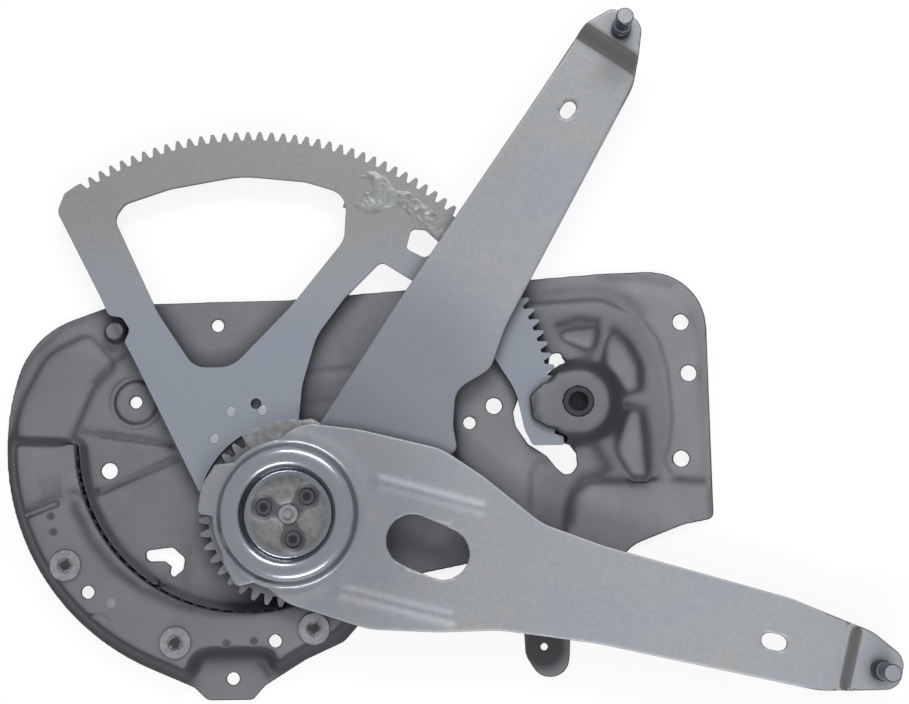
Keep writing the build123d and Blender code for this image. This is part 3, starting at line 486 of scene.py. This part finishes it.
def stud_steel():
    """Turned studs: dark collar, bright band a third of the way up, bluish shiny sides, pale top."""
    s = Shader("stud_steel")
    up = s.height()
    fine = s.noise(2600, 3, 0.7, stretch=(1, 1, 6))
    side = s.ramp(s.noise(90, 3, 0.5), (0.35, (0.05, 0.058, 0.09)), (0.65, (0.12, 0.13, 0.18)))
    collar = s.span(up, stud_foot + 0.5, stud_foot)
    colour = s.mix(collar, side, (0.04, 0.04, 0.045))
    below_top = s.span(up, stud_band + 3, stud_band + 2.4)
    band = s.math("MULTIPLY", s.span(up, stud_band, stud_band + 0.4), below_top)
    colour = s.mix(band, colour, (0.48, 0.49, 0.5))
    top_face = s.slope(0.75, 0.95)
    colour = s.mix(top_face, colour, (0.46, 0.465, 0.48))
    return s.finish(colour, s.ramp(fine, (0.3, 0.18), (0.7, 0.32)), 0.85, fine, 0.15, 0.0002)


def bush_bronze():
    """Sintered bronze of the bearing bush."""
    s = Shader("bush_bronze")
    fine = s.noise(2600, 3, 0.7)
    colour = s.ramp(s.noise(140, 4, 0.6), (0.3, (0.3, 0.2, 0.09)), (0.7, (0.46, 0.33, 0.16)))
    return s.finish(colour, s.ramp(fine, (0.3, 0.35), (0.7, 0.55)), 0.9, fine, 0.3)


def grease(name):
    """Thick greasy dross, close in colour to the plate it sticks to."""
    s = Shader(name)
    lumps = s.noise(160, 5, 0.65, seed=7)
    colour = s.ramp(lumps, (0.35, (0.2, 0.203, 0.2)), (0.65, (0.32, 0.325, 0.32)))
    # painted shade in the grease's creases, found by ambient occlusion
    colour = s.mix(s.creases(0.4, 0.95, 0.004), colour, (0.09, 0.09, 0.088))
    return s.finish(colour, s.ramp(lumps, (0.3, 0.28), (0.7, 0.5)), 0.25, lumps, 0.5, 0.0006)


def dress(name, material, bevel=0.0):
    """Gives a solid its material and, if asked, rounded edges."""
    piece = nodes[name]
    piece.data.materials.clear()
    piece.data.materials.append(material)
    for face in piece.data.polygons:
        face.material_index = 0
    if bevel:
        rounding = piece.modifiers.new("rounded_edges", "BEVEL")
        rounding.width = bevel
        rounding.segments = 2
        rounding.limit_method = "ANGLE"
        rounding.angle_limit = radians(35)


def prism(outline, low, high):
    """Closed mesh of an outline in plan, between two heights."""
    mesh = bmesh.new()
    rings = [[mesh.verts.new((x * mm, y * mm, z * mm)) for x, y in outline] for z in (low, high)]
    mesh.faces.new(list(reversed(rings[0])))
    mesh.faces.new(rings[1])
    for k in range(len(outline)):
        m = (k + 1) % len(outline)
        mesh.faces.new((rings[0][k], rings[0][m], rings[1][m], rings[1][k]))
    return mesh


def capsule(start, end, radius, steps=20):
    """Outline in plan of a slot with round ends."""
    along = atan2(end[1] - start[1], end[0] - start[0])
    outline = []
    for centre, first in ((end, along - pi / 2), (start, along + pi / 2)):
        for k in range(steps + 1):
            angle = first + pi * k / steps
            outline.append((centre[0] + radius * cos(angle), centre[1] + radius * sin(angle)))
    return outline


def arc_strip(inner, outer, first, last, steps=90):
    """Outline in plan of part of a ring about the main pivot, from angle to angle."""
    angles = [radians(first + (last - first) * k / steps) for k in range(steps + 1)]
    outside = [(outer * cos(angle), outer * sin(angle)) for angle in angles]
    inside = [(inner * cos(angle), inner * sin(angle)) for angle in reversed(angles)]
    return outside + inside


def scratch_object(name, mesh):
    """Helper object that is used while shaping and then removed."""
    data = bpy.data.meshes.new(name)
    bmesh.ops.recalc_face_normals(mesh, faces=mesh.faces)
    mesh.to_mesh(data)
    mesh.free()
    helper = bpy.data.objects.new(name, data)
    bpy.context.scene.collection.objects.link(helper)
    return helper


def joined_copy(name, fills):
    """Own mesh of a solid with the fills added as further closed shells."""
    mesh = bmesh.new()
    mesh.from_mesh(nodes[name].data)
    for outline, low, high in fills:
        shell = bpy.data.meshes.new("fill")
        prism(outline, low, high).to_mesh(shell)
        mesh.from_mesh(shell)
        bpy.data.meshes.remove(shell)
    return mesh


def evaluated_mesh(piece):
    """Mesh of an object with its modifiers applied."""
    graph = bpy.context.evaluated_depsgraph_get()
    return bpy.data.meshes.new_from_object(piece.evaluated_get(graph))


def points_of(data):
    """Places of a mesh's points, in metres, one row each."""
    spots = np.empty(len(data.vertices) * 3)
    data.vertices.foreach_get("co", spots)
    return spots.reshape(-1, 3)


def move_joggle(spots, angle, rise, made, wanted):
    """Slides an arm's joggle: made and wanted are (start, end) as distances back from the tip."""
    way = (cos(radians(angle)), sin(radians(angle)))
    along = (spots[:, 0] / mm - hub_at[0]) * way[0] + (spots[:, 1] / mm - hub_at[1]) * way[1]
    made_share, share = [
        np.clip((along - (arm_length - start)) / (start - end), 0, 1) for start, end in (made, wanted)
    ]
    spots[:, 2] += rise * mm * (share * share * (3 - 2 * share) - made_share)


def freedom(data, spots, ends, pinned_reach, soft_zones):
    """How far each point may move, from 0 at a cut edge to 1 beyond the pinned reach of it."""
    first, second = ends
    normals = np.empty(len(spots) * 3)
    data.vertices.foreach_get("normal", normals)
    steep = np.abs(normals.reshape(-1, 3)[:, 2]) < cut_edge_normal
    away = np.where(steep, 0.0, far_from_edge)
    for centre, radius in soft_zones:
        inside = np.hypot(spots[:, 0] / mm - centre[0], spots[:, 1] / mm - centre[1]) < radius
        away[inside] = far_from_edge
    lengths = np.linalg.norm(spots[first] - spots[second], axis=1) / mm
    for _ in range(edge_passes):
        np.minimum.at(away, first, away[second] + lengths)
        np.minimum.at(away, second, away[first] + lengths)
    return np.clip((away - edge_margin) / pinned_reach, 0, 1)[:, None]


def relax(data, rounds, pinned_reach, strokes, cap, joggle, soft_zones):
    """Softens bends but keeps cut edges, then presses ribs and grooves along strokes."""
    spots = points_of(data)
    count = len(spots)
    ends = np.empty(len(data.edges) * 2, dtype=np.int64)
    data.edges.foreach_get("vertices", ends)
    first, second = ends[0::2], ends[1::2]
    if joggle:
        move_joggle(spots, *joggle)
    if cap:
        cap_reach, cap_height = cap
        low_zone = np.hypot(spots[:, 0] - hub_at[0] * mm, spots[:, 1] - hub_at[1] * mm) > cap_reach * mm
        low_zone &= spots[:, 2] < (cap_height + cap_room) * mm
        spots[low_zone, 2] = np.minimum(spots[low_zone, 2], cap_height * mm)
    free = freedom(data, spots, (first, second), pinned_reach, soft_zones)
    links = np.bincount(first, minlength=count) + np.bincount(second, minlength=count)
    links = np.maximum(links, 1)[:, None]
    for _ in range(rounds):
        total = np.empty_like(spots)
        for axis in range(3):
            total[:, axis] = np.bincount(first, spots[second, axis], count)
            total[:, axis] += np.bincount(second, spots[first, axis], count)
        spots += (total / links - spots) * smoothing_share * free
    for points, half_width, rise in strokes:
        near = distance_to_line(spots, points)
        spots[:, 2] += rise * mm * np.exp(-((near / half_width) ** 2))
    spots[:, 2] = np.maximum(spots[:, 2], 0)
    data.vertices.foreach_set("co", spots.ravel())
    data.update()


def distance_to_line(spots, points):
    """Distance in plan from each point, given in metres, to a broken line in millimetres."""
    near = np.full(len(spots), 1e9)
    for (x0, y0), (x1, y1) in zip(points, points[1:]):
        run = np.array((x1 - x0, y1 - y0))
        from_start = spots[:, :2] / mm - np.array((x0, y0))
        share = np.clip(from_start @ run / (run @ run), 0, 1)[:, None]
        near = np.minimum(near, np.linalg.norm(from_start - share * run, axis=1))
    return near


def paint_bands(data, bands):
    """Stores how dark the bands make each point, as the mesh's attribute shade: painted shade of the drawn
    walls, partly wear.
    """
    spots = points_of(data)
    shade = np.zeros(len(spots))
    for pixels, height, half_width, strength in bands:
        near = distance_to_line(spots, [plan_at(pixel, height) for pixel in pixels])
        shade = np.maximum(shade, strength * np.exp(-((near / half_width) ** 2)))
    layer = data.attributes.new("shade", "FLOAT", "POINT")
    layer.data.foreach_set("value", shade.astype(np.float32))


def rework(name, material, body, voxel, fills=(), cuts=(), rounds=30, pinned_reach=3.0,
           strokes=(), cap=None, joggle=None, soft_zones=(), bands=(), keep=0.4):
    """Pressed version of a sheet solid, with soft bends, that replaces it in the picture.

    Fills and cuts are (outline, low, high), and strokes are (points, half width, rise). A cap is (distance,
    height): beyond that distance from the hub the sheet doesn't rise past the height. keep is the share of
    the faces that stays.
    """
    helper = scratch_object("shaping", joined_copy(name, fills))
    grid = helper.modifiers.new("even_mesh", "REMESH")
    grid.mode = "VOXEL"
    grid.voxel_size = voxel
    cutters = []
    for outline, low, high in cuts:
        cutter = scratch_object("cutter", prism(outline, low, high))
        cutters.append(cutter)
        away = helper.modifiers.new("cut", "BOOLEAN")
        away.object = cutter
        away.operation = "DIFFERENCE"
        away.solver = "EXACT"
    data = evaluated_mesh(helper)
    for used in cutters + [helper]:
        bpy.data.objects.remove(used)
    relax(data, rounds, pinned_reach, strokes, cap, joggle, soft_zones)
    paint_bands(data, bands)
    piece = placed(name + "_pressed", data, material, body)
    lighter = piece.modifiers.new("fewer_faces", "DECIMATE")
    lighter.ratio = keep
    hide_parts(name)


def placed(name, data, material, body):
    """Smooth object of a mesh, with one material, on a body."""
    data.name = name
    data.materials.clear()
    data.materials.append(material)
    for face in data.polygons:
        face.material_index = 0
        face.use_smooth = True
    piece = bpy.data.objects.new(name, data)
    bpy.context.scene.collection.objects.link(piece)
    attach(piece, body)
    return piece


def new_piece(name, mesh, material, body):
    """Object from a bmesh, with its material, on a body."""
    data = bpy.data.meshes.new(name)
    bmesh.ops.recalc_face_normals(mesh, faces=mesh.faces)
    mesh.to_mesh(data)
    mesh.free()
    return placed(name, data, material, body)


def add_blanket(name, rows, columns, spot_at):
    """Thin closed layer of grease; spot_at gives a point of its top, or of its sunk underside, in metres."""
    mesh = bmesh.new()
    sheets = []
    for sunk in (False, True):
        sheet = []
        for i in range(rows):
            for j in range(columns):
                sheet.append(mesh.verts.new(spot_at(i / (rows - 1), j / (columns - 1), sunk)))
        sheets.append(sheet)
    close_sheets(mesh, sheets, rows, columns)
    new_piece(name, mesh, grease(name), "carrier")


def wrinkle(x, y, waves, seed):
    """Sharp ridge, 1 high, where noise with so many waves per metre passes zero."""
    sharpness = 3.2
    return max(0.0, 1 - sharpness * abs(noise.noise(Vector((x * waves, y * waves, seed)))))


def smear_spot(u, v, sunk):
    """Point of the grease on the sector: u runs outwards and v along the teeth, away from the upper arm."""
    low_angle, high_angle = radians(45.5), radians(68)
    low_reach, high_reach = 0.1325, 0.1575
    notch_depth, notch_at, notch_blend = 0.0115, 0.66, 0.14
    rim_share = 0.22
    lowest, highest = -0.6, 1.3
    angle = low_angle + (high_angle - low_angle) * v
    inner = low_reach + notch_depth * min(max((notch_at - v) / notch_blend, 0.0), 1.0)
    reach = inner + (high_reach - inner) * u
    x, y = reach * cos(angle), reach * sin(angle)
    if sunk:
        return (x, y, (sector_top - 0.8) * mm)
    coarse = noise.noise(Vector((x * 75, y * 75, 3.1)))
    ridges = wrinkle(x, y, 95, 8.4) + 0.5 * wrinkle(x, y, 230, 2.2)
    fringe = min(u, 1 - u, v, 1 - v)
    rise = 0.12 + 0.9 * coarse + 0.55 * ridges - 1.2 * max(0.0, 1 - fringe / rim_share)
    return (x, y, sector_top * mm + min(max(rise, lowest), highest) * mm)


def tooth_grease_spot(u, v, sunk):
    """Point of the grease between the planet gear's upper teeth: u runs outwards and v round the hub."""
    inner_reach, width = 36, 14.0
    first_angle, sweep = 60, 62
    ragged = 1.2 * noise.noise(Vector((v * 9, 2.0, 5.0)))
    x, y = from_hub(inner_reach + (width + ragged) * u, first_angle + sweep * v)
    wave = 0.35 * noise.noise(Vector((x * 0.35, y * 0.35, 1.0)))
    height = 7.0 if sunk else sector_top + 0.15 + wave - 0.5 * max(0.0, (u - 0.85) / 0.15)
    return (x * mm, y * mm, height * mm)


def lathe(mesh, centre, profile, steps=32):
    """Adds a turned closed form about an upright axis; profile is (radius, height) from the top down."""
    rings = []
    for radius, height in profile:
        rings.append([
            mesh.verts.new((*(c * mm for c in from_point(centre, radius, 360 * k / steps)), height * mm))
            for k in range(steps)
        ])
    mesh.faces.new(rings[0])
    mesh.faces.new(list(reversed(rings[-1])))
    for upper, lower in zip(rings, rings[1:]):
        for k in range(steps):
            m = (k + 1) % steps
            mesh.faces.new((upper[k], lower[k], lower[m], upper[m]))


def add_flush_rivets(material):
    """Sector rivets ground flush with the plate, as the photograph shows no heads there."""
    mesh = bmesh.new()
    profile = [(1.8, 9.52), (2.3, 9.515), (2.4, 9.45), (2.4, 4.0)]
    for angle in sector_rivet_angles:
        lathe(mesh, from_pivot(sector_rivet_circle, angle), profile)
    piece = new_piece("sector_rivets_flush", mesh, material, "carrier")
    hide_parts("sector_rivets")


def close_sheets(mesh, sheets, rows, columns):
    """Faces of a top and a bottom grid and of the walls between."""
    top, bottom = sheets
    for i in range(rows - 1):
        for j in range(columns - 1):
            k = i * columns + j
            ring = (k, k + 1, k + columns + 1, k + columns)
            mesh.faces.new([top[n] for n in ring])
            mesh.faces.new([bottom[n] for n in reversed(ring)])
    around = list(range(columns))
    around += [i * columns + columns - 1 for i in range(1, rows)]
    around += [(rows - 1) * columns + j for j in range(columns - 2, -1, -1)]
    around += [i * columns for i in range(rows - 2, 0, -1)]
    for k, n in enumerate(around):
        m = around[(k + 1) % len(around)]
        mesh.faces.new((top[n], bottom[n], bottom[m], top[m]))


def add_floor():
    """Wide white floor just under the part, which takes its shadow; seen directly it mostly glows."""
    glow_share = 0.85
    bpy.ops.mesh.primitive_plane_add(size=6, location=(0.1, 0.05, -0.0006))
    floor = bpy.context.object
    floor.name = "floor"
    s = Shader("white_floor")
    s.surface.inputs["Base Color"].default_value = (0.93, 0.93, 0.93, 1)
    s.surface.inputs["Roughness"].default_value = 0.9
    paths = s.add("ShaderNodeLightPath").outputs
    direct = s.math("MAXIMUM", paths["Is Camera Ray"], paths["Is Glossy Ray"])
    seen = s.math("MULTIPLY", direct, glow_share)
    glow = s.add("ShaderNodeEmission", Color=(1, 1, 1, 1), Strength=1.0)
    mixed = s.add("ShaderNodeMixShader", Fac=seen)
    s.feed(mixed, "1", s.surface.outputs[0])
    s.feed(mixed, "2", glow.outputs[0])
    s.tree.links.new(mixed.outputs[0], s.tree.nodes["Material Output"].inputs["Surface"])
    floor.data.materials.append(s.material)


def add_lights():
    """Soft light from the top and the foot of the picture, and an even sky."""
    for name, place, size, power in lamps:
        data = bpy.data.lights.new(name, "AREA")
        data.shape = "RECTANGLE"
        data.size, data.size_y = size
        data.energy = power
        lamp = bpy.data.objects.new(name, data)
        lamp.location = place
        lamp.rotation_euler = (Vector(part_middle) - Vector(place)).to_track_quat("-Z", "Y").to_euler()
        bpy.context.scene.collection.objects.link(lamp)
    world = bpy.data.worlds.new("studio")
    bpy.context.scene.world = world
    world.use_nodes = True
    background = world.node_tree.nodes["Background"]
    background.inputs["Color"].default_value = (*sky_colour, 1)
    background.inputs["Strength"].default_value = sky_strength


def arm_slot(angle, along, half_run, radius):
    """Outline in plan of a slot in an arm, at a distance from the hub along the arm."""
    ends = [from_hub(along + side * half_run, angle) for side in (-1, 1)]
    return capsule(*ends, radius)


def pressed_spot(at, half_width, rise):
    """Stroke so short that it presses a round spot."""
    return ([at, (at[0] + 0.1, at[1])], half_width, rise)


def press_base(material):
    """Base plate with soft bends, grooves, dimples and a closed gap under the rim."""
    boss_circle = [from_point(ring_boss_at, ring_boss, angle) for angle in range(0, 361, 20)]
    strokes = [
        ([(-78, 4.4), (-40.3, -1.2)], 2.2, -1.1),
        ([(-76.5, -25.3), (-60, -18), (-38.1, -9.1)], 2.2, -1.1),
        ([(-112.5, -37.5), (-98, -32.1)], 1.8, -1.3),
        (boss_circle, 1.9, -1.2),
        ([(-79.4, -89.7), (-74, -88.6), (-69.7, -91.8)], 1.2, -0.6),
        pressed_spot(dot_at, 2.2, 0.5),
    ]
    strokes += [pressed_spot(at, 1.7, -0.7) for at in dark_marks]
    rework(
        "base_plate", material, "base", base_voxel,
        fills=[(arc_strip(*rim_strip), 0.0, rim_strip_top)],
        rounds=60,
        soft_zones=[(plan_at(pixel, pocket_height), radius) for pixel, radius in pockets],
        bands=shade_and_wear_bands.values(),
        strokes=strokes,
    )


def press_lower_arm(material):
    """Lower arm with its oval window and slot cut afresh, two ribs and a soft dome."""
    top = lower_arm_low + plate_thick
    rework(
        "lower_arm", material, "carrier", arm_voxel,
        fills=[
            (capsule((86, -53), (101, -59), 20), lower_arm_low, top),
            (arm_slot(lower_arm_angle, 251, 4, 5), lower_arm_low, top),
        ],
        cuts=[
            (capsule((85.6, -52.8), (101.5, -59.7), 12.4), cut_low, cut_high),
            (arm_slot(lower_arm_angle, 253.6, 2.7, 3.3), cut_low, cut_high),
        ],
        rounds=22,
        strokes=[
            ([(70, -23.2), (121.3, -37.4)], 3.6, 1.3),
            ([(50, -77.8), (104.5, -91.8)], 3.6, 1.3),
            ([from_hub(39.0, angle) for angle in range(0, 361, 15)], 4.5, 0.9),
        ],
        cap=(43.0, top),
        joggle=(lower_arm_angle, tip_low - lower_arm_low, solid_joggle, lower_joggle),
    )


def press_upper_arm(material):
    """Upper arm with its slot cut afresh and the joggle nearer the tip."""
    rework(
        "upper_arm", material, "planet", arm_voxel,
        fills=[(arm_slot(upper_arm_angle, 246.5, 4, 5), upper_arm_low, upper_arm_low + plate_thick)],
        cuts=[(arm_slot(upper_arm_angle, 257.6, 1.7, 3.3), cut_low, cut_high)],
        rounds=8,
        joggle=(upper_arm_angle, tip_low - upper_arm_low, solid_joggle, upper_joggle),
    )


def dress_solids(base, plate):
    """Every solid that stays in the picture gets its material, and most get rounded edges."""
    rivets = (
        "ring_rivets", "main_pivot_stud", "hub_post", "hub_rivets", "hub_centre_pin", "upper_arm_rivets",
    )
    for names, material, bevel in (
        (("pinion_cap",), base, 0.0004),
        (("crank_plate", "planet_spacer"), plate, 0.0003),
        (("sector_gear",), plate, 0.00025),
        (("planet_gear",), gear_steel("gear_steel", 0.34), 0.0002),
        # ring and pinion gears sit under the rim and hood: their near-black tone is painted shade
        (("ring_gear", "pinion_gear"), gear_steel("painted_shade_gear_steel", 0.07), 0),
        (rivets, rivet_steel(), 0.0003),
        (("upper_tip_stud", "lower_tip_stud"), stud_steel(), 0.0003),
        (("planet_bush",), bush_bronze(), 0),
    ):
        for name in names:
            dress(name, material, bevel)


base_material = base_steel()
arm_material = arm_steel()
dress_solids(base_material, plate_steel())
press_base(base_material)
press_lower_arm(arm_material)
press_upper_arm(arm_material)
# By this name Blender finds the plain finish that came in with the solids, not plate_steel's own
add_flush_rivets(bpy.data.materials["zinc_plate"])
add_blanket("sector_grease", rows=46, columns=96, spot_at=smear_spot)
add_blanket("tooth_grease", rows=14, columns=60, spot_at=tooth_grease_spot)
add_floor()
add_lights()
add_camera()
bpy.context.scene.view_settings.view_transform = "Standard"
